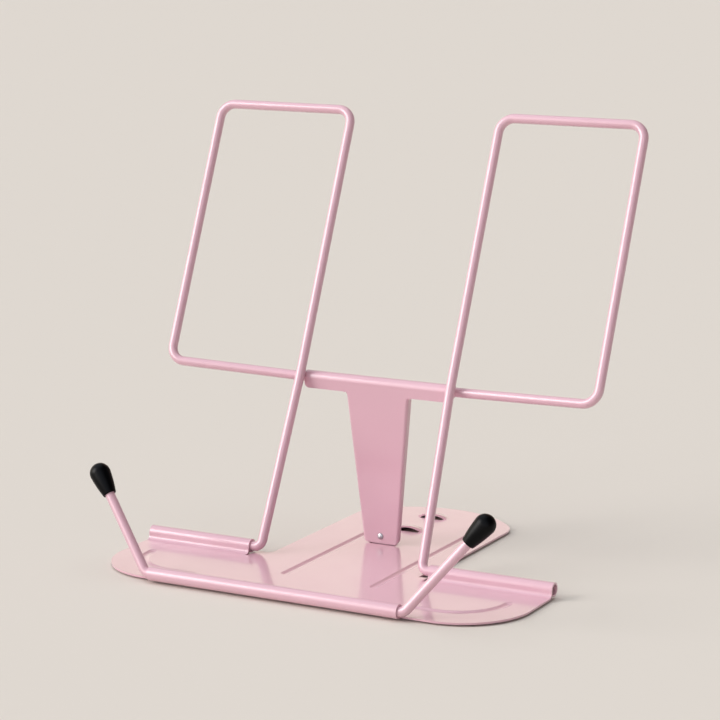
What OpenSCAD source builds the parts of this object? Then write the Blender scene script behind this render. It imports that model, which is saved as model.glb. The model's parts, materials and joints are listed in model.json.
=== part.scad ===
// Folding bookstand rack.
// A pressed steel base carries two bent-wire page frames on rolled hinges. One sheet-steel
// prop holds both frames upright and drops its toe into one of three catches in the base.
// Two wire page holders with rubber tips turn in the roll along the front edge.
// X runs to the right, Y to the rear and Z up. Z = 0 is the table, and the origin lies under
// the middle of the base.

/* [Wire] */
// Diameter of all the wire
wire_d = 5; // [4:0.5:6]
// Radial gap between a wire and the roll that it turns in
fit_gap = 0.1; // [0.05:0.01:0.1]

/* [Page frames] */
// Distance from the middle to the centre line of an outer upright
frame_half_w = 125; // [110:1:140]
// Distance from the middle to the centre line of an inner upright
inner_x = 44; // [38:1:50]
// How much further out a leg stands at the hinge than at the lower bar
leg_splay = 3; // [1:0.5:4]
// Distance along the frame from the hinge to the lower bar
bar_rise = 94; // [85:1:105]
// Distance along the frame from the hinge to the top bar
frame_rise = 240; // [200:1:280]
// Lean of the frames, back from upright, with the prop in the first catch
lean_back = 23.5; // [18:0.5:27]
// Bend radius of the frame corners, at the wire's centre line
corner_r = 8; // [6:0.5:12]
// Bend radius where a leg turns into its hinge pin
foot_r = 4; // [3.5:0.5:5.5]
// Length of the straight hinge pin inside a rear roll
pin_len = 52; // [30:1:58]
// Distance between the two bar ends inside the prop
bar_end_gap = 12; // [4:1:30]

/* [Base sheet] */
// Thickness of the sheet steel, in the base and in the prop
sheet_t = 1; // [0.8:0.1:1.1]
// Half the width of the wide front part
base_half_w = 117; // [108:1:126]
// How far the sheet's outline stands to the right of the middle of the frames
sheet_shift = 3.2; // [0:0.1:3.5]
// Distance from the hinge axis forward to the front edge of the wide part
lobe_front = 66; // [60:1:72]
// Corner radius of the wide part
lobe_r = 37; // [25:1:45]
// Half the width of the tongue that runs to the rear
tongue_half_w = 45.5; // [40:0.5:47]
// Distance from the hinge axis to where the tongue begins to round off
tongue_straight = 98; // [85:1:110]
// Distance from there to the tip of the tongue
tongue_nose = 31; // [26:1:40]
// Radius of the tongue's rear corners
tongue_corner_r = 19.5; // [16:0.5:25]
// How far the sheet between the rear rolls reaches behind the hinge axis
shelf_reach = 3; // [1:0.5:5]
// Radius of the inside corner between that sheet and the tongue
shelf_r = 4; // [2:0.5:6]

/* [Rolls] */
// Height of the hinge axis above the top of the sheet
hinge_rise = 3.2; // [3:0.1:4.5]
// Inside radius of the bend that lifts the sheet into a rear roll
riser_r = 2.2; // [1.5:0.1:2.6]
// Distance from the middle to the inner end of a rear roll
rear_roll_x = 52.4; // [49:0.1:54]
// How far round its wire the sheet is rolled, in degrees
roll_turn = 300; // [270:5:310]
// Width of the relief slit beside a rear roll
relief_w = 1.4; // [1:0.1:2]
// Width of the notch under the foot of the right leg
notch_w = 6.4; // [3:0.1:7]
// Distance from the hinge axis forward to the axis of the front roll
front_roll_y = 67.5; // [62:0.5:74]
// Half the length of the front roll
front_roll_half = 70.5; // [55:0.5:76]
// How far the front roll and its page holders stand to the left of the middle
front_roll_shift = 1.7; // [0:0.1:3]

/* [Catches] */
// Number of catches for the prop's toe
catch_count = 3; // [2:1:3]
// Distance from the hinge axis to the front edge of the first catch
catch_first = 44.8; // [42:0.1:48]
// Distance from one catch to the next
catch_pitch = 29.6; // [24:0.1:31]
// Half the width of a catch opening
catch_half_w = 6.8; // [6.4:0.1:7.5]
// Length of the open slot in front of a catch's raised lip
catch_slot = 2.4; // [2.2:0.1:3]
// Height of the arched mouth under the lip
catch_rise = 1.5; // [1:0.1:2]

/* [Pressed ribs] */
// Width of a rib, which is a channel pressed down into the sheet
rib_w = 5.2; // [4:0.1:5.6]
// Depth of a rib
rib_depth = 0.75; // [0.4:0.05:0.8]
// Place of the left straight rib
rib_left_x = -17; // [-26:1:-16]
// Place of the right straight rib
rib_right_x = 34; // [20:1:36]
// Distance from the hinge axis forward to the front end of the straight ribs
rib_front = 27; // [15:1:32]
// Distance from the hinge axis back to the rear end of the straight ribs
rib_rear = 88; // [60:1:92]
// Distance of a curved rib in from the side of the wide part
arc_edge = 14.5; // [10:0.5:25]
// Distance from the hinge axis forward to the centre of a curved rib's arc
arc_y = 23; // [20:1:26]
// Radius of a curved rib
arc_r = 27; // [20:1:28]
// Length of a curved rib's straight run along the front
arc_run = 13; // [4:1:20]

/* [Prop] */
// Half the length of the roll across the top of the prop
prop_half_w = 43; // [36:1:47]
// How far the wings hang below the axis of the prop's roll
wing_drop = 5.1; // [4.5:0.1:7]
// Radius of the wings' lower corners
wing_r = 2.6; // [1:0.1:4.5]
// Half the width of the stem just under the wings
stem_top_half = 18.3; // [14:0.1:20]
// Half the width of the stem at its foot
stem_foot_half = 10.1; // [9.5:0.1:12]
// Depth of the stem's side flanges under the wings, with the front sheet
flange_depth = 4.5; // [3.5:0.1:5]
// Depth of the flanges at the foot
flange_foot_depth = 2.6; // [2:0.1:4.5]
// Outside radius of the bends between the front and the flanges
flange_bend_r = 1.5; // [1.1:0.1:2]
// Radius of the hollow corner between a wing and the stem
hollow_r = 2.5; // [1.5:0.1:8]
// Radius of the stem's lower corners
foot_corner_r = 3.2; // [1.5:0.1:4]
// Gap between the prop's foot and the base, and behind the toe
foot_gap = 0.35; // [0.3:0.05:0.5]
// Thickness of the toe riveted behind the stem
toe_t = 0.8; // [0.6:0.1:0.9]
// Width of the toe
toe_w = 12; // [8:0.5:12.4]
// Height of the toe above the stem's lower edge
toe_h = 8; // [7:0.5:12]
// How far the toe reaches below the stem's lower edge
toe_reach = 1.6; // [1:0.1:1.7]
// Height of the rivet above the stem's lower edge
rivet_h = 3.9; // [3.5:0.1:5]
// Diameter of the rivet's head
rivet_head_d = 3.4; // [3:0.1:4]
// Diameter of the rivet's shank
rivet_d = 2; // [1.6:0.1:2.4]

/* [Page holders] */
// How far beyond the front roll the page holder's bend begins
arm_exit = 0.2; // [0.1:0.1:3]
// Angle of a page holder's arm to the front roll
arm_flare = 52.5; // [40:0.5:70]
// Rise of a page holder's arm over the base, seen from the side
arm_rise = 72.5; // [60:0.5:100]
// Length of the arm from its bend to the mouth of the tip
arm_len = 46.2; // [35:0.1:50]
// Bend radius of the arm, at the wire's centre line
arm_bend_r = 5; // [4:0.5:8]
// Length of the arm's straight pin inside the front roll
arm_pin = 40; // [20:1:50]
// Length of a rubber tip
tip_len = 17.9; // [15:0.1:22]
// Diameter of a tip at its round end
tip_d = 10.8; // [9:0.1:12]
// Diameter of a tip at its mouth
tip_mouth_d = 7; // [6.8:0.1:8]
// How deep the wire sits in a tip
tip_seat = 11; // [8:0.5:12]

/* [Pads] */
// Height of the pads under the base
pad_h = 1; // [0.8:0.1:2]
// Diameter of a pad
pad_d = 12; // [8:1:16]
// Distance of the front pads in from the sides of the base
pad_side = 33; // [29:1:40]
// Distance of the front pads back from the front edge
pad_front = 28; // [22:1:34]
// Distance of the rear pads in from the sides of the tongue
pad_tongue_side = 21; // [16:1:28]
// Distance of the rear pads forward of the tongue's tip
pad_rear = 23; // [20:1:30]

/* [Hidden] */
$fn = 48;

wire_r = wire_d / 2;
// bending draws the wire this much thinner, and each bend starts inside the straight wire
bend_thin = 0.01;
bend_lap = 0.06;
bore_r = wire_r + fit_gap;
roll_r = bore_r + sheet_t;
plate_top = pad_h + sheet_t;
hinge_z = plate_top + hinge_rise;
front_roll_z = pad_h + roll_r;
tongue_rear = tongue_straight + tongue_nose;
// the origin lies midway between the front roll and the tip of the tongue
hinge_y = (front_roll_y + roll_r - tongue_rear) / 2;

// the lower bars pass behind the inner uprights, far enough for the prop's roll to clear them
bar_back = wire_r + roll_r + 0.4;
bar_bend_x = inner_x + 6;
prop_y = bar_rise * sin(lean_back) + bar_back * cos(lean_back);
prop_z = hinge_z + bar_rise * cos(lean_back) - bar_back * sin(lean_back);

// the foot's front edge stands so that the toe behind it seats against the first catch's lip
foot_y = catch_first + catch_slot - foot_gap - toe_t - sheet_t;
foot_z = plate_top + foot_gap;
foot_dist = norm([prop_y - foot_y, prop_z - foot_z]);
stem_len = sqrt(foot_dist * foot_dist - roll_r * roll_r);
prop_lean = asin(roll_r / foot_dist) - atan2(prop_y - foot_y, prop_z - foot_z);

stem_taper = atan((stem_top_half - stem_foot_half) / (stem_len - wing_drop));
// the front sheet laps this far over the bent edge of the stem
edge_in = (flange_bend_r + 0.5) / cos(stem_taper);
// centre of the hollow corner between the right wing and the stem, and where its flange ends
hollow_z = -wing_drop - hollow_r;
hollow_x = stem_foot_half + (hollow_z + stem_len) * tan(stem_taper) + hollow_r / cos(stem_taper);
hollow_end = 118;
bend_line_y = -(roll_r + riser_r);
lip_r = (catch_half_w * catch_half_w + catch_rise * catch_rise) / (2 * catch_rise);
rib_r = (rib_w * rib_w / 4 + rib_depth * rib_depth) / (2 * rib_depth);
arm_dir = [cos(arm_flare), sin(arm_flare) * cos(arm_rise), sin(arm_flare) * sin(arm_rise)];
arm_bend = [front_roll_half + arm_exit + arm_bend_r * tan(arm_flare / 2), -front_roll_y, front_roll_z];
arc_x = base_half_w - arc_edge - arc_r;
pad_front_x = base_half_w - pad_side;
pad_rear_x = tongue_half_w - pad_tongue_side;

paint = [0.93, 0.72, 0.76];
rubber = [0.06, 0.06, 0.07];
steel = [0.75, 0.75, 0.77];

// ---- helpers ----

// from the hinge axis, on the table, to the part's own origin
module on_base() translate([0, hinge_y, 0]) children();

// from the middle of the frames to the middle of the sheet's outline
module on_sheet() translate([sheet_shift, 0, 0]) children();

module both_sides() {
    children();
    mirror([1, 0, 0]) children();
}

function unit(v) = v / norm(v);

module along(v) rotate([0, acos(v[2] / norm(v)), atan2(v[1], v[0])]) children();

module rod(from, to, before, after) translate(from) along(to - from) translate([0, 0, -before])
    cylinder(h = norm(to - from) + before + after, r = wire_r);

// how much of each leg a bend of radius r takes up at corner c
function setback(a, c, b, r) = r / tan(acos(unit(a - c) * unit(b - c)) / 2);

module bend(a, c, b, r) {
    u = unit(a - c);
    w = unit(b - c);
    half = acos(u * w) / 2;
    centre = c + unit(u + w) * r / sin(half);
    out = unit(c + u * r / tan(half) - centre);
    n = cross(out, -u);
    multmatrix([[out[0], -u[0], n[0], centre[0]],
                [out[1], -u[1], n[1], centre[1]],
                [out[2], -u[2], n[2], centre[2]],
                [0, 0, 0, 1]])
        rotate_extrude(angle = 180 - 2 * half) translate([r, 0]) circle(r = wire_r - bend_thin);
}

// one length of wire through the points p, with the bend radii r at its inner points
module bent_wire(p, r) {
    last = len(p) - 1;
    trim = [for (i = [0 : last]) i == 0 || i == last ? 0 : setback(p[i - 1], p[i], p[i + 1], r[i])];
    for (i = [0 : last - 1])
        rod(p[i] + unit(p[i + 1] - p[i]) * trim[i], p[i + 1] - unit(p[i + 1] - p[i]) * trim[i + 1],
            i == 0 ? 0 : bend_lap, i == last - 1 ? 0 : bend_lap);
    for (i = [1 : last - 1]) bend(p[i - 1], p[i], p[i + 1], r[i]);
}

// sheet rolled about the X axis with inner radius r, from angle start (0 is rearward, 90 is up)
// and turned back over itself where sweep is negative
module roll(r, start, sweep, length)
    rotate([90, 0, 90]) rotate([0, 0, start]) mirror([0, sweep < 0 ? 1 : 0, 0])
        rotate_extrude(angle = abs(sweep)) translate([r, 0]) square([sheet_t, length]);

// ---- base ----

module wide_part_2d() {
    corner = [base_half_w - lobe_r, lobe_r - lobe_front];
    difference() {
        union() {
            translate([-base_half_w, corner[1]]) square([2 * base_half_w, -corner[1]]);
            translate([-corner[0], -lobe_front]) square([2 * corner[0], lobe_front]);
            both_sides() translate(corner) circle(r = lobe_r);
        }
        translate([-2 * base_half_w, bend_line_y]) square([4 * base_half_w, 2 * lobe_r]);
    }
}

// the strip that runs on into the front roll
module front_strip_2d()
    translate([-front_roll_half - front_roll_shift, -front_roll_y])
        square([2 * front_roll_half, front_roll_y - lobe_front + 1]);

// the tongue's rear end: two corner arcs joined by one wide arc that is tangent to both
module nose_2d() {
    side = tongue_half_w - tongue_corner_r;
    wide_r = (side * side + tongue_nose * tongue_nose - tongue_corner_r * tongue_corner_r)
        / (2 * (tongue_nose - tongue_corner_r));
    centre_y = tongue_nose - wide_r;
    reach = 2 * wide_r;
    translate([0, tongue_straight]) {
        for (x = [-side, side]) translate([x, 0]) circle(r = tongue_corner_r);
        intersection() {
            translate([0, centre_y]) circle(r = wide_r);
            polygon([[0, centre_y], [reach * side, centre_y - reach * centre_y],
                [-reach * side, centre_y - reach * centre_y]]);
        }
        translate([-side, -1]) square([2 * side, tongue_corner_r * 0.9]);
    }
}

module tongue_2d() {
    translate([-tongue_half_w, 0]) square([2 * tongue_half_w, tongue_straight]);
    nose_2d();
    both_sides() difference() {
        translate([tongue_half_w - 0.5, shelf_reach - 0.5]) square(shelf_r + 0.5);
        translate([tongue_half_w + shelf_r, shelf_reach + shelf_r]) circle(r = shelf_r);
    }
}

module shelf_2d() {
    half = rear_roll_x - relief_w;
    translate([-half, bend_line_y - 1]) square([2 * half, shelf_reach - bend_line_y + 1]);
}

module relief_2d() {
    both_sides() translate([rear_roll_x - relief_w, bend_line_y - relief_w])
        square([relief_w, relief_w + 1]);
    translate([rear_roll_x - notch_w, -wire_r / 2])
        square([notch_w + shelf_r, shelf_reach + shelf_r]);
}

// section of a rib: the part of a circle of radius r below height high
module rib_2d(r, high) intersection() {
    translate([0, plate_top - rib_depth + rib_r]) circle(r = r);
    translate([-rib_w, high - rib_r]) square([2 * rib_w, rib_r]);
}

// a rib's round end, which faces angle way
module rib_end(way, r, high) rotate([0, 0, way - 90]) rotate_extrude(angle = 180) intersection() {
    rib_2d(r, high);
    translate([0, high - rib_r]) square([rib_w, rib_r]);
}

module straight_rib(r, high) {
    translate([0, rib_rear, 0]) {
        rotate([90, 0, 0]) linear_extrude(rib_front + rib_rear) rib_2d(r, high);
        rib_end(90, r, high);
    }
    translate([0, -rib_front, 0]) rib_end(270, r, high);
}

module curved_rib(r, high) translate([arc_x, -arc_y, 0]) {
    rotate([0, 0, -90]) rotate_extrude(angle = 90) translate([arc_r, 0]) rib_2d(r, high);
    translate([arc_r, 0, 0]) rib_end(90, r, high);
    translate([-arc_run, -arc_r, 0]) {
        rotate([90, 0, 90]) linear_extrude(arc_run) rib_2d(r, high);
        rib_end(180, r, high);
    }
}

module all_ribs(r, high) {
    translate([rib_left_x, 0, 0]) straight_rib(r, high);
    translate([rib_right_x, 0, 0]) straight_rib(r, high);
    on_sheet() both_sides() curved_rib(r, high);
}

// what lies above height z, as wide as the base
module above(z) translate([sheet_shift - base_half_w, -front_roll_y, z])
    cube([2 * base_half_w, front_roll_y + tongue_rear, roll_r]);

module catch_places() for (i = [0 : catch_count - 1])
    translate([0, catch_first + i * catch_pitch, 0]) children();

// half of a shallow dome, open to the front
module half_dome(r) intersection() {
    translate([0, catch_slot, plate_top + catch_rise - lip_r]) sphere(r = r, $fn = 96);
    translate([-2 * catch_half_w, catch_slot, 0]) cube([4 * catch_half_w, 2 * catch_half_w, 3 * roll_r]);
}

module catch_lip() intersection() {
    half_dome(lip_r + sheet_t);
    above(plate_top - sheet_t / 2);
}

module catch_opening() {
    half_dome(lip_r);
    translate([-catch_half_w, 0, 0]) cube([2 * catch_half_w, catch_slot + 0.01, plate_top + 1]);
}

module rear_roll(length) translate([rear_roll_x, 0, hinge_z]) {
    roll(bore_r, 180, -roll_turn, length);
    translate([0, -roll_r, riser_r - hinge_rise]) cube([length, sheet_t, hinge_rise - riser_r]);
    translate([0, bend_line_y, riser_r - hinge_rise]) roll(riser_r, -90, 90, length);
}

module front_roll() translate([-front_roll_half - front_roll_shift, -front_roll_y, front_roll_z])
    roll(bore_r, 270, -roll_turn, 2 * front_roll_half);

module base_plate() color(paint) on_base() {
    difference() {
        union() {
            translate([0, 0, pad_h]) linear_extrude(sheet_t) difference() {
                union() {
                    on_sheet() wide_part_2d();
                    on_sheet() tongue_2d();
                    shelf_2d();
                    front_strip_2d();
                }
                relief_2d();
            }
            all_ribs(rib_r + sheet_t, pad_h + sheet_t / 2);
            catch_places() catch_lip();
        }
        all_ribs(rib_r, plate_top + sheet_t / 2);
        catch_places() catch_opening();
    }
    rear_roll(base_half_w + sheet_shift - rear_roll_x);
    mirror([1, 0, 0]) rear_roll(base_half_w - sheet_shift - rear_roll_x);
    front_roll();
}

module pad(x, y) color(rubber) on_base() on_sheet() translate([x, y, 0]) cylinder(h = pad_h, d = pad_d);

// ---- page frames ----

// frame coordinates: X to the right, Y behind the frame's plane, Z up the frame from the hinge
module right_frame() color(paint) on_base() translate([0, 0, hinge_z]) rotate([-lean_back, 0, 0]) {
    leg_x = inner_x + leg_splay;
    bent_wire(
        [[rear_roll_x + pin_len, 0, 0],
         [leg_x, 0, 0],
         [inner_x, 0, bar_rise],
         [inner_x, 0, frame_rise],
         [frame_half_w, 0, frame_rise],
         [frame_half_w, 0, bar_rise],
         [bar_bend_x, bar_back, bar_rise],
         [bar_end_gap / 2, bar_back, bar_rise]],
        [0, foot_r, 2 * corner_r, corner_r, corner_r, corner_r, 2 * corner_r, 0]);
}

module left_frame() mirror([1, 0, 0]) right_frame();

// ---- prop ----

// prop coordinates: the origin is on the roll's axis, Z runs up the stem and Y behind it
module on_prop() on_base() translate([0, prop_y, prop_z]) rotate([prop_lean, 0, 0]) children();

// section of a bent edge: the front sheet at the left, the flange turned back at the right
module edge_section(inset) {
    bend_centre = [-flange_bend_r, flange_bend_r];
    translate([-flange_bend_r - 1, inset]) square([1, sheet_t - 2 * inset]);
    translate([inset - sheet_t, flange_bend_r])
        square([sheet_t - 2 * inset, flange_depth - flange_bend_r]);
    translate(bend_centre) intersection() {
        difference() {
            circle(r = flange_bend_r - inset);
            circle(r = flange_bend_r - sheet_t + inset);
        }
        translate([0, -flange_bend_r]) square(flange_bend_r);
    }
}

// the flat of the prop, seen from the front
module wings_2d() {
    translate([-prop_half_w, wing_r - wing_drop]) square([2 * prop_half_w, wing_drop - wing_r]);
    translate([wing_r - prop_half_w, -wing_drop]) square([2 * (prop_half_w - wing_r), wing_drop]);
    both_sides() translate([prop_half_w - wing_r, wing_r - wing_drop]) circle(r = wing_r);
}

module stem_2d() {
    foot_half = stem_foot_half - edge_in;
    top_half = stem_top_half - edge_in;
    polygon([[-foot_half, -stem_len], [foot_half, -stem_len],
        [top_half, 0.5 - wing_drop], [-top_half, 0.5 - wing_drop]]);
}

// the sheet that fills the hollow corner, where the flange runs and then beyond its end
module hollow_2d() {
    free = hollow_end + 4;
    far = 1.6 * hollow_r;
    top = 0.5 - wing_drop;
    difference() {
        polygon([[0, hollow_z], [hollow_x, hollow_z], [hollow_x, top], [0, top]]);
        translate([hollow_x, hollow_z]) circle(r = hollow_r + flange_bend_r + 0.5);
    }
    difference() {
        polygon([[hollow_x, hollow_z], [hollow_x + far * cos(free), hollow_z + far * sin(free)],
            [hollow_x + far * cos(free), top], [hollow_x, top]]);
        translate([hollow_x, hollow_z]) circle(r = hollow_r + 0.02);
    }
}

module stem_flange() {
    side_len = (stem_len + hollow_z) / cos(stem_taper) + hollow_r * tan(stem_taper);
    translate([stem_foot_half, -roll_r, -stem_len]) rotate([0, stem_taper, 0])
        translate([0, 0, -3]) linear_extrude(side_len + 3 + bend_lap) edge_section(0);
    translate([hollow_x, -roll_r, hollow_z]) rotate([-90, 0, 0])
        rotate([0, 0, 180 + stem_taper]) rotate_extrude(angle = 180 - stem_taper - hollow_end)
            translate([hollow_r, 0]) mirror([1, 0]) edge_section(bend_thin);
}

// what lies behind the flanges, which grow shallower towards the foot
module flange_slope() {
    run = stem_len - wing_drop;
    slope = atan((flange_depth - flange_foot_depth) / run);
    translate([-2 * stem_top_half, flange_foot_depth - roll_r, -stem_len]) rotate([-slope, 0, 0])
        translate([0, 0, -6]) cube([4 * stem_top_half, 2 * roll_r, run + 6]);
}

// what a rounded lower corner of the stem takes away
module foot_corner() {
    x = stem_foot_half + foot_corner_r * (tan(stem_taper) - 1 / cos(stem_taper));
    far = 3 * foot_corner_r;
    translate([x, roll_r, foot_corner_r - stem_len]) rotate([90, 0, 0])
        linear_extrude(3 * roll_r) difference() {
            polygon([[0, 0], [far * cos(stem_taper), -far * sin(stem_taper)], [far, -far], [0, -far]]);
            circle(r = foot_corner_r + 0.01);
        }
}

module rivet_hole() translate([0, 0, rivet_h - stem_len]) rotate([90, 0, 0])
    cylinder(h = 3 * roll_r, r = rivet_d / 2 + 0.05, center = true);

module prop_bracket() color(paint) on_prop() difference() {
    union() {
        translate([-prop_half_w, 0, 0]) roll(bore_r, 180, -roll_turn, 2 * prop_half_w);
        translate([0, sheet_t - roll_r, 0]) rotate([90, 0, 0]) linear_extrude(sheet_t) {
            wings_2d();
            stem_2d();
            both_sides() hollow_2d();
        }
        both_sides() stem_flange();
    }
    translate([-2 * stem_foot_half, -2 * roll_r, -stem_len - 6]) cube([4 * stem_foot_half, 4 * roll_r, 6]);
    flange_slope();
    both_sides() foot_corner();
    rivet_hole();
}

module prop_toe() color(paint) on_prop() difference() {
    translate([-toe_w / 2, sheet_t - roll_r, -stem_len - toe_reach])
        cube([toe_w, toe_t, toe_h + toe_reach]);
    rivet_hole();
}

module prop_rivet() color(steel) on_prop() translate([0, -roll_r, rivet_h - stem_len]) rotate([-90, 0, 0]) {
    head_h = rivet_head_d / 4;
    cap_r = (rivet_head_d * rivet_head_d / 4 + head_h * head_h) / (2 * head_h);
    grip = sheet_t + toe_t;
    cylinder(h = grip, d = rivet_d);
    intersection() {
        translate([0, 0, cap_r - head_h]) sphere(r = cap_r);
        translate([0, 0, -head_h]) cylinder(h = head_h, d = rivet_head_d + 1);
    }
    translate([0, 0, grip]) cylinder(h = head_h / 2, d = rivet_head_d);
}

// ---- page holders ----

module on_front_roll() on_base() translate([-front_roll_shift, 0, 0]) children();

module arm() color(paint) bent_wire(
    [[front_roll_half - arm_pin, -front_roll_y, front_roll_z],
     arm_bend,
     arm_bend + arm_dir * (arm_len + tip_seat)],
    [0, arm_bend_r, 0]);

module tip() color(rubber) translate(arm_bend + arm_dir * arm_len) along(arm_dir) {
    end_r = tip_d / 2;
    mouth_r = tip_mouth_d / 2;
    end_z = tip_len - end_r;
    // the taper meets the round end without an edge
    slope = atan2(end_z, mouth_r) - acos(end_r / norm([mouth_r, end_z]));
    difference() {
        union() {
            cylinder(h = end_z - end_r * sin(slope), r1 = mouth_r, r2 = end_r * cos(slope));
            translate([0, 0, end_z]) sphere(r = end_r);
        }
        translate([0, 0, -1]) cylinder(h = tip_seat + 1.1, r = wire_r + 0.05);
    }
}

base_plate();
pad(-pad_front_x, pad_front - lobe_front);  // pad_front_left
pad(pad_front_x, pad_front - lobe_front);  // pad_front_right
pad(-pad_rear_x, tongue_rear - pad_rear);  // pad_rear_left
pad(pad_rear_x, tongue_rear - pad_rear);  // pad_rear_right
left_frame();
right_frame();
prop_bracket();
prop_toe();
prop_rivet();
on_front_roll() mirror([1, 0, 0]) arm();  // left_arm
on_front_roll() arm();  // right_arm
on_front_roll() mirror([1, 0, 0]) tip();  // left_tip
on_front_roll() tip();  // right_tip
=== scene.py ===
import json
from math import acos, atan2, cos, degrees, hypot, pi, radians, sin

import bmesh
import bpy
from mathutils import Matrix, Vector

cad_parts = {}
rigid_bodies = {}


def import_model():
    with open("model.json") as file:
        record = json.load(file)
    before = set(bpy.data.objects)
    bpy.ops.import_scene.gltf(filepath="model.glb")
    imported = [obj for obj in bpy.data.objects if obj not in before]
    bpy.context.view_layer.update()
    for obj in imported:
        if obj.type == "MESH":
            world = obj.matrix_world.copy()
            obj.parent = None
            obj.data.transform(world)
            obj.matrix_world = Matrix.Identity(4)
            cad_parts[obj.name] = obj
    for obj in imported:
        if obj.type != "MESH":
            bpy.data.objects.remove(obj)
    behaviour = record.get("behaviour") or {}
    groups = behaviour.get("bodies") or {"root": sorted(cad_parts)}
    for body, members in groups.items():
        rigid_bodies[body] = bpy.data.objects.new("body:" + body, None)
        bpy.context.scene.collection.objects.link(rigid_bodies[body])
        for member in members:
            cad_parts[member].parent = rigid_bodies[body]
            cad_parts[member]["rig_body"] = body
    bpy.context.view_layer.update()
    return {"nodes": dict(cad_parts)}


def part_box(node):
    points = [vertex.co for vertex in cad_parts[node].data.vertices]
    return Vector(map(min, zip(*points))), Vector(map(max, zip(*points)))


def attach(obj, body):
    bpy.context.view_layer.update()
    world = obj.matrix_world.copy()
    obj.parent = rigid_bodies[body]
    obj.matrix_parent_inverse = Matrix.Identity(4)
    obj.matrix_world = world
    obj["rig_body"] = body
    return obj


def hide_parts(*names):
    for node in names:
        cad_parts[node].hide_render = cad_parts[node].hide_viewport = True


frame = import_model()
nodes = frame["nodes"]
mm = 0.001
print("frame loaded:", len(nodes), "nodes")

# camera, fitted to the photograph
view = {
    "place": (0.6012, -1.13265, 0.3573),
    "turn": 28.11,      # degrees, to the left of straight on
    "tilt": 11.17,      # degrees, downwards
    "lens": 126.63,     # mm
    "sensor": 36.0,     # mm
    "reach": 60.0,      # m, past the floor's edge
}


def makeCamera():
    data = bpy.data.cameras.new("camera")
    data.lens = view["lens"]
    data.sensor_width = view["sensor"]
    data.clip_end = view["reach"]
    camera = bpy.data.objects.new("camera", data)
    camera.location = view["place"]
    camera.rotation_euler = (radians(90 - view["tilt"]), 0, radians(view["turn"]))
    bpy.context.scene.collection.objects.link(camera)
    bpy.context.scene.camera = camera


makeCamera()
print("camera placed")


# a new material: returns it with its nodes and its shader
def newMaterial(name):
    material = bpy.data.materials.new(name)
    material.use_nodes = True
    tree = material.node_tree
    shader = next(n for n in tree.nodes if n.type == "BSDF_PRINCIPLED")
    return material, tree, shader


# noise on object coordinates, with its scale in waves per metre
def addNoise(tree, scale, detail, roughness=0.5):
    place = tree.nodes.new("ShaderNodeTexCoord")
    noise = tree.nodes.new("ShaderNodeTexNoise")
    noise.inputs["Scale"].default_value = scale
    noise.inputs["Detail"].default_value = detail
    noise.inputs["Roughness"].default_value = roughness
    tree.links.new(place.outputs["Object"], noise.inputs["Vector"])
    return noise.outputs["Fac"]


# a colour that goes from low to high while the source goes from start to end
def addRamp(tree, source, low, high, start=0.3, end=0.7):
    ramp = tree.nodes.new("ShaderNodeValToRGB")
    ramp.color_ramp.elements[0].position = start
    ramp.color_ramp.elements[1].position = end
    ramp.color_ramp.elements[0].color = (*low, 1)
    ramp.color_ramp.elements[1].color = (*high, 1)
    tree.links.new(source, ramp.inputs["Fac"])
    return ramp.outputs["Color"]


# a number that does the same
def addRange(tree, source, low, high, start=0.3, end=0.7):
    spread = tree.nodes.new("ShaderNodeMapRange")
    spread.inputs["From Min"].default_value = start
    spread.inputs["From Max"].default_value = end
    spread.inputs["To Min"].default_value = low
    spread.inputs["To Max"].default_value = high
    tree.links.new(source, spread.inputs["Value"])
    return spread.outputs["Result"]


def addTint(tree, shader, source, look):
    tree.links.new(addRamp(tree, source, look["low"], look["high"]), shader.inputs["Base Color"])


def addMatt(tree, shader, source, look):
    tree.links.new(addRange(tree, source, *look["matt"]), shader.inputs["Roughness"])


def addBump(tree, shader, source, strength, height):
    bump = tree.nodes.new("ShaderNodeBump")
    bump.inputs["Strength"].default_value = strength
    bump.inputs["Distance"].default_value = height
    tree.links.new(source, bump.inputs["Height"])
    tree.links.new(bump.outputs["Normal"], shader.inputs["Normal"])


# stove enamel, sprayed on and baked: glossy, with a very slight peel
paint = {
    "low": (0.695, 0.415, 0.485),    # the coat varies slightly in depth
    "high": (0.725, 0.440, 0.512),
    "cloud": (14.0, 2.0),            # noise: waves per metre, and detail
    "matt": (0.30, 0.38),            # roughness, from pooled to thin
    "smear": (55.0, 3.0),
    "peel": (260.0, 0.0),
    "peelBump": (0.015, 0.3 * mm),   # strength, and height
    "gloss": 1.0,
    "glossRoughness": 0.12,
}


def makePaint():
    material, tree, shader = newMaterial("pinkEnamel")
    addTint(tree, shader, addNoise(tree, *paint["cloud"]), paint)
    addMatt(tree, shader, addNoise(tree, *paint["smear"]), paint)
    addBump(tree, shader, addNoise(tree, *paint["peel"]), *paint["peelBump"])
    shader.inputs["Coat Weight"].default_value = paint["gloss"]
    shader.inputs["Coat Roughness"].default_value = paint["glossRoughness"]
    return material


# moulded rubber, finely grained
rubber = {
    "low": (0.001, 0.001, 0.0015),
    "high": (0.002, 0.002, 0.0025),
    "cloud": (220.0, 3.0),
    "matt": (0.29, 0.36),
    "grain": (2600.0, 2.0),
    "grainBump": (0.10, 0.2 * mm),
    "shine": 0.12,
}


def makeRubber():
    material, tree, shader = newMaterial("blackTipRubber")
    cloud = addNoise(tree, *rubber["cloud"])
    addTint(tree, shader, cloud, rubber)
    addMatt(tree, shader, cloud, rubber)
    addBump(tree, shader, addNoise(tree, *rubber["grain"]), *rubber["grainBump"])
    shader.inputs["Specular IOR Level"].default_value = rubber["shine"]
    return material


# closed-cell foam rubber
foam = {
    "low": (0.012, 0.012, 0.012),
    "high": (0.030, 0.029, 0.028),
    "cells": (1800.0, 4.0, 0.7),     # noise, with its own roughness
    "cellBump": (0.4, 0.3 * mm),
    "roughness": 0.85,
}


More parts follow.
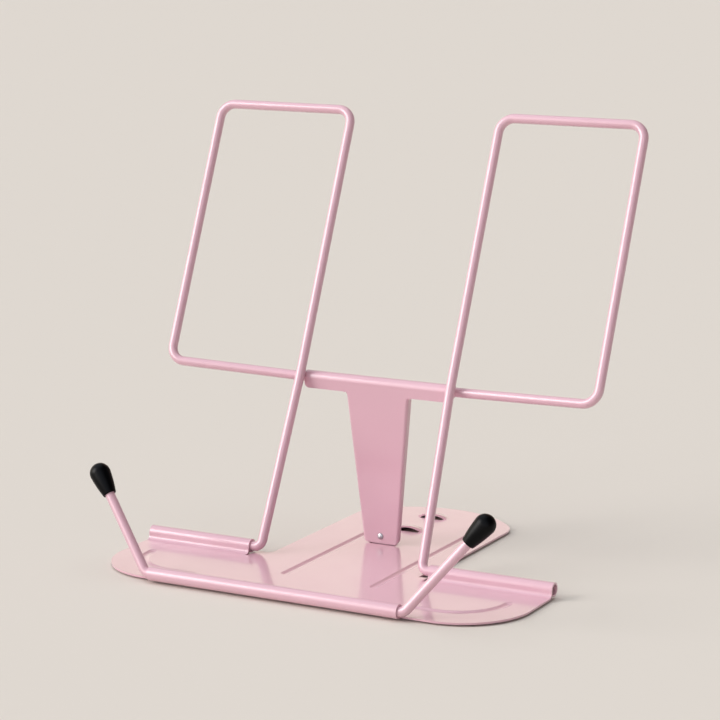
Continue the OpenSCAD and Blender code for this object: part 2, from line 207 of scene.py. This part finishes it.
def makeFoam():
    material, tree, shader = newMaterial("darkPadFoam")
    cells = addNoise(tree, *foam["cells"])
    addTint(tree, shader, cells, foam)
    addBump(tree, shader, cells, *foam["cellBump"])
    shader.inputs["Roughness"].default_value = foam["roughness"]
    return material


# zinc-plated steel
steel = {
    "low": (0.38, 0.38, 0.39),
    "high": (0.55, 0.55, 0.56),
    "cloud": (900.0, 3.0),
    "matt": (0.30, 0.42),
}


def makeSteel():
    material, tree, shader = newMaterial("brightRivetSteel")
    cloud = addNoise(tree, *steel["cloud"])
    addTint(tree, shader, cloud, steel)
    addMatt(tree, shader, cloud, steel)
    shader.inputs["Metallic"].default_value = 1.0
    return material


finish = {
    "paint": makePaint(),
    "rubber": makeRubber(),
    "pad": makeFoam(),
    "rivet": makeSteel(),
}


def dress(piece, name):
    piece.data.materials.clear()
    piece.data.materials.append(finish[name])


for node in ("left_frame", "right_frame", "left_arm", "right_arm"):
    dress(nodes[node], "paint")
print("wires painted")


# a finished piece that stands for one node, on that node's body
def seat(mesh, name, node, coat):
    piece = bpy.data.objects.new(name, mesh)
    bpy.context.scene.collection.objects.link(piece)
    dress(piece, coat)
    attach(piece, nodes[node]["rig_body"])
    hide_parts(node)
    return piece


# ends a bmesh as a smooth mesh, with creases where its faces meet at a sharper angle
def finishMesh(form, name, crease):
    for face in form.faces:
        face.smooth = True
    mesh = bpy.data.meshes.new(name)
    form.to_mesh(mesh)
    form.free()
    mesh.set_sharp_from_angle(angle=crease)
    return mesh


# pressed sheet: the shape of its node, with the sheared rims broken as tumbling and paint leave them
sheet = {
    "merge": 0.002 * mm,
    "flat": radians(0.3),        # faces nearer than this to one plane are one face
    "corner": radians(38),       # a rim is sharper than this
    "rim": 0.28 * mm,            # rounding of the base's and the prop's rims
    "toeRim": 0.15 * mm,
    "steps": 2,
    "crease": radians(40),
}


def roundSheet(node, name, rounding):
    form = bmesh.new()
    form.from_mesh(nodes[node].data)
    bmesh.ops.remove_doubles(form, verts=form.verts, dist=sheet["merge"])
    bmesh.ops.dissolve_limit(
        form, angle_limit=sheet["flat"], use_dissolve_boundaries=False, verts=form.verts, edges=form.edges)
    rims = [e for e in form.edges if e.is_manifold and e.calc_face_angle() > sheet["corner"]]
    bmesh.ops.bevel(form, geom=rims, offset=rounding, segments=sheet["steps"], profile=0.5,
                    affect="EDGES", clamp_overlap=True, material=-1)
    piece = seat(finishMesh(form, name, sheet["crease"]), name, node, "paint")
    weight = piece.modifiers.new("flatFacesLead", "WEIGHTED_NORMAL")
    weight.keep_sharp = True


roundSheet("base_plate", "basePlate", sheet["rim"])
roundSheet("prop_bracket", "propBracket", sheet["rim"])
roundSheet("prop_toe", "propToe", sheet["toeRim"])
print("sheet pieces rounded")

turned = {
    "merge": 0.001 * mm,
    "crease": radians(50),
    "curve": 4,                  # steps in a small rounding
}


# turns an outline of (radius, height) points about Z, and closes it where it meets the axis
def lathe(name, outline, steps, place):
    form = bmesh.new()
    points = [form.verts.new((radius, 0, height)) for radius, height in outline]
    for start, end in zip(points, points[1:]):
        form.edges.new((start, end))
    bmesh.ops.spin(form, geom=form.verts[:] + form.edges[:], cent=(0, 0, 0), axis=(0, 0, 1),
                   angle=2 * pi, steps=steps, use_merge=True)
    bmesh.ops.remove_doubles(form, verts=form.verts, dist=turned["merge"])
    bmesh.ops.recalc_face_normals(form, faces=form.faces)
    bmesh.ops.transform(form, matrix=place, verts=form.verts)
    return finishMesh(form, name, turned["crease"])


# points of a round stretch, from one angle to another, in degrees from the radius axis
def arc(centre, radius, start, end, count):
    turns = [radians(start + (end - start) * i / count) for i in range(count + 1)]
    return [(centre[0] + radius * cos(t), centre[1] + radius * sin(t)) for t in turns]


# the turn that lays Z along a direction
def turnTo(direction):
    return direction.to_track_quat("Z", "Y").to_matrix().to_4x4()


tip = {
    "length": 17.9 * mm,
    "endRadius": 5.4 * mm,
    "mouthRadius": 3.5 * mm,
    "lip": 0.4 * mm,             # rounding of the mouth's rim
    "belly": 0.22 * mm,          # how far the flank bows out
    "boreRadius": 2.55 * mm,
    "boreDepth": 11.0 * mm,
    "flare": radians(52.5),      # how the arm leaves the front roll, and how far it is raised
    "rise": radians(72.5),
    "flankSteps": 9,
    "endSteps": 14,
    "steps": 48,
}


def tipOutline():
    end, mouth, lip, bore = tip["endRadius"], tip["mouthRadius"], tip["lip"], tip["boreRadius"]
    endHeight = tip["length"] - end
    # how far below the end's widest place the straight flank touches it
    slope = atan2(endHeight, mouth) - acos(end / hypot(mouth, endHeight))
    top = (end * cos(slope), endHeight - end * sin(slope))
    flank = []
    for i in range(1, tip["flankSteps"]):
        along = i / tip["flankSteps"]
        bow = tip["belly"] * sin(pi * along)
        flank.append((mouth + (top[0] - mouth) * along + bow, lip + (top[1] - lip) * along))
    inner = [(0, tip["boreDepth"]), (bore, tip["boreDepth"]), (bore, 0)]
    mouthRim = arc((mouth - lip, lip), lip, -90, 0, turned["curve"])
    return inner + mouthRim + flank + arc((0, endHeight), end, -degrees(slope), 90, tip["endSteps"])


# side is -1 at the left and 1 at the right
def makeTip(node, name, side):
    low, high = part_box(node)
    end = tip["endRadius"]
    ball = Vector((high.x - end if side > 0 else low.x + end, high.y - end, high.z - end))
    flare, rise = tip["flare"], tip["rise"]
    along = Vector((side * cos(flare), sin(flare) * cos(rise), sin(flare) * sin(rise)))
    place = Matrix.Translation(ball - along * (tip["length"] - end)) @ turnTo(along)
    seat(lathe(name, tipOutline(), tip["steps"], place), name, node, "rubber")


makeTip("left_tip", "leftTip", -1)
makeTip("right_tip", "rightTip", 1)
print("tips on")

pad = {
    "rim": 0.25 * mm,            # rounding of the upper and lower rim
    "dish": 0.12 * mm,           # the middle of the underside is drawn in
    "dishFlat": 0.55,            # radii of the dish's floor and mouth, as shares of the pad's
    "dishMouth": 0.8,
    "steps": 40,
}


def makePadPiece(node, name):
    low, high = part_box(node)
    radius = (high.x - low.x) / 2
    height = high.z - low.z
    rim, dish = pad["rim"], pad["dish"]
    outline = [(0, dish), (pad["dishFlat"] * radius, dish), (pad["dishMouth"] * radius, 0)]
    outline += arc((radius - rim, rim), rim, -90, 0, turned["curve"])
    outline += arc((radius - rim, height - rim), rim, 0, 90, turned["curve"])
    outline.append((0, height))
    middle = Vector(((low.x + high.x) / 2, (low.y + high.y) / 2, low.z))
    seat(lathe(name, outline, pad["steps"], Matrix.Translation(middle)), name, node, "pad")


for node, name in (("pad_front_left", "padFrontLeft"), ("pad_front_right", "padFrontRight"),
                   ("pad_rear_left", "padRearLeft"), ("pad_rear_right", "padRearRight")):
    makePadPiece(node, name)
print("pads on")

rivet = {
    "headRadius": 1.7 * mm,
    "headHeight": 0.85 * mm,
    "rim": 0.16 * mm,            # upright rim under the dome
    "rimBreak": 0.05 * mm,       # the rim's lower edge, broken
    "shankRadius": 1.0 * mm,
    "upset": 0.425 * mm,         # the end that was hammered over, behind the toe
    "upsetRound": 0.2 * mm,
    "dish": 0.05 * mm,           # the hammer's mark in that end
    "dishFlat": 0.6 * mm,
    "dishMouth": 0.8 * mm,
    "flush": 0.001 * mm,         # points nearer than this to the end lie in it
    "domeSteps": 12,
    "steps": 40,
}


# the normal of a mesh's largest flat face
def flatNormal(mesh):
    areas = {}
    for face in mesh.polygons:
        key = tuple(round(c, 3) for c in face.normal)
        areas[key] = areas.get(key, 0) + face.area
    return Vector(max(areas, key=areas.get)).normalized()


# half outline of the rivet, from the hammered end up to the head
def rivetOutline(length):
    radius, shank, upset = rivet["headRadius"], rivet["shankRadius"], rivet["upset"]
    rounding, edge, dish = rivet["upsetRound"], rivet["rimBreak"], rivet["dish"]
    under = length - rivet["headHeight"]
    outline = [(0, dish), (rivet["dishFlat"], dish), (rivet["dishMouth"], 0)]
    outline += arc((radius - rounding, rounding), rounding, -90, 0, turned["curve"])
    outline += [(radius, upset), (shank, upset), (shank, under)]
    outline += [(radius - edge, under), (radius, under + edge)]
    dome = rivet["headHeight"] - rivet["rim"]
    curve = (radius * radius + dome * dome) / (2 * dome)
    spread = degrees(atan2(radius, curve - dome))
    return outline + arc((0, length - curve), curve, 90 - spread, 90, rivet["domeSteps"])


def makeRivet():
    mesh = nodes["prop_rivet"].data
    axis = flatNormal(mesh)      # points backwards, out of the hammered end
    depths = [v.co.dot(axis) for v in mesh.vertices]
    back = max(depths)
    rim = [v.co for v, depth in zip(mesh.vertices, depths) if depth > back - rivet["flush"]]
    foot = sum(rim, Vector()) / len(rim)
    low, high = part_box("prop_rivet")
    foot.x = (low.x + high.x) / 2
    place = Matrix.Translation(foot) @ turnTo(-axis)
    outline = rivetOutline(back - min(depths))
    seat(lathe("propRivet", outline, rivet["steps"], place), "propRivet", "prop_rivet", "rivet")


makeRivet()
print("rivet set")

windowFrom = (-0.72, -0.55, 0.42)
daylight = (0.80, 0.87, 1.0)

room = {
    "floorHalf": 30.0,
    "floor": (0.75, 0.695, 0.635),
    "backdrop": (0.731, 0.679, 0.624),   # the lit floor's tone, above its edge
    "sky": (1.0, 0.97, 0.94),
    "skyLevel": (0.52, 0.24),        # at the left, and at the right
    "skySpan": (-0.6, 0.6),          # from where to where in X that changes
    "warm": (1.0, 0.90, 0.76),       # what gloss mirrors: a warm wall at the left and behind,
    "shade": (1.0, 0.72, 0.60),      # and the room's darker right side
    "wallLevel": (1.22, 0.25),
    "wallSpan": (-0.30, 0.10),
    "ceiling": 0.12,                 # a dim ceiling, as a share of the level below it
    "ceilingSpan": (0.30, 0.42),     # from where to where in Z the walls end
}

# soft patches of light in what gloss mirrors: where from, colour, level, outer and inner radius in degrees
patches = {
    "windowGlow": (windowFrom, room["sky"], 1.3, 34, 16),
    "leftWallTop": ((-0.46, 0.0, 0.89), daylight, 1.0, 45, 18),
    "front": ((0.10, -0.96, 0.26), daylight, 1.1, 62, 25),
    "ember": ((-0.14, 0.86, 0.49), (1.0, 0.40, 0.34), 0.42, 17, 8),   # seen in the walls of the ribs
}

# far soft lamps, which light the floor evenly: where from, width in degrees, power, colour, mirrored
lamps = {
    "window": (windowFrom, 38, 1.85, (1.0, 0.98, 0.97), True),
    "overhead": ((-0.14, 0.05, 0.99), 60, 1.12, (0.90, 0.95, 1.0), False),
    "fill": ((0.15, -0.96, 0.22), 50, 0.6, (0.86, 0.90, 1.0), False),
}


def makeFloor():
    bpy.ops.mesh.primitive_plane_add(size=2 * room["floorHalf"])
    floor = bpy.context.object
    floor.name = "floor"
    material, tree, shader = newMaterial("paleFloor")
    shader.inputs["Base Color"].default_value = (*room["floor"], 1)
    shader.inputs["Roughness"].default_value = 1.0
    shader.inputs["Specular IOR Level"].default_value = 0.0
    floor.data.materials.append(material)


def addBackground(tree, color):
    light = tree.nodes.new("ShaderNodeBackground")
    light.inputs["Color"].default_value = (*color, 1)
    return light


# a soft patch of light round one direction, added to the light under it
def addPatch(tree, place, under, direction, color, level, outer, inner):
    towards = tree.nodes.new("ShaderNodeVectorMath")
    towards.operation = "DOT_PRODUCT"
    towards.inputs[1].default_value = direction
    tree.links.new(place, towards.inputs[0])
    shine = addRange(tree, towards.outputs["Value"], 0.0, level, cos(radians(outer)), cos(radians(inner)))
    patch = addBackground(tree, color)
    tree.links.new(shine, patch.inputs["Strength"])
    both = tree.nodes.new("ShaderNodeAddShader")
    tree.links.new(under, both.inputs[0])
    tree.links.new(patch.outputs["Background"], both.inputs[1])
    return both.outputs["Shader"]


# the first light where the share is 0, the second where it is 1
def addChoice(tree, share, first, second):
    choice = tree.nodes.new("ShaderNodeMixShader")
    tree.links.new(share, choice.inputs["Fac"])
    tree.links.new(first, choice.inputs[1])
    tree.links.new(second, choice.inputs[2])
    return choice.outputs["Shader"]


# what gloss mirrors: the walls under a dim ceiling, with the patches on them
def addMirrored(tree, place, split):
    walls = tree.nodes.new("ShaderNodeBackground")
    across = addRange(tree, split.outputs["X"], 0.0, 1.0, *room["wallSpan"])
    tree.links.new(addRamp(tree, across, room["warm"], room["shade"], 0.0, 1.0), walls.inputs["Color"])
    level = tree.nodes.new("ShaderNodeMath")
    level.operation = "MULTIPLY"
    tree.links.new(addRange(tree, across, *room["wallLevel"], 0.0, 1.0), level.inputs[0])
    above = addRange(tree, split.outputs["Z"], 1.0, room["ceiling"], *room["ceilingSpan"])
    tree.links.new(above, level.inputs[1])
    tree.links.new(level.outputs["Value"], walls.inputs["Strength"])
    seen = walls.outputs["Background"]
    for patch in patches.values():
        seen = addPatch(tree, place, seen, *patch)
    return seen


def makeWorld():
    world = bpy.data.worlds.new("softRoom")
    world.use_nodes = True
    tree = world.node_tree
    place = tree.nodes.new("ShaderNodeTexCoord").outputs["Generated"]
    split = tree.nodes.new("ShaderNodeSeparateXYZ")
    tree.links.new(place, split.inputs["Vector"])

    soft = tree.nodes["Background"]
    soft.inputs["Color"].default_value = (*room["sky"], 1)
    level = addRange(tree, split.outputs["X"], *room["skyLevel"], *room["skySpan"])
    tree.links.new(level, soft.inputs["Strength"])
    backdrop = addBackground(tree, room["backdrop"])

    path = tree.nodes.new("ShaderNodeLightPath")
    mirrored = addMirrored(tree, place, split)
    lit = addChoice(tree, path.outputs["Is Glossy Ray"], soft.outputs["Background"], mirrored)
    seen = addChoice(tree, path.outputs["Is Camera Ray"], lit, backdrop.outputs["Background"])
    tree.links.new(seen, tree.nodes["World Output"].inputs["Surface"])
    bpy.context.scene.world = world


def makeLamp(name, comesFrom, width, power, color, mirrored):
    data = bpy.data.lights.new(name, "SUN")
    data.angle = radians(width)
    data.energy = power
    data.color = color
    lamp = bpy.data.objects.new(name, data)
    lamp.rotation_euler = (-Vector(comesFrom)).to_track_quat("-Z", "Y").to_euler()
    lamp.visible_glossy = mirrored
    bpy.context.scene.collection.objects.link(lamp)


makeFloor()
makeWorld()
for name, lamp in lamps.items():
    makeLamp(name, *lamp)
bpy.context.scene.view_settings.view_transform = "Standard"
print("room lit")
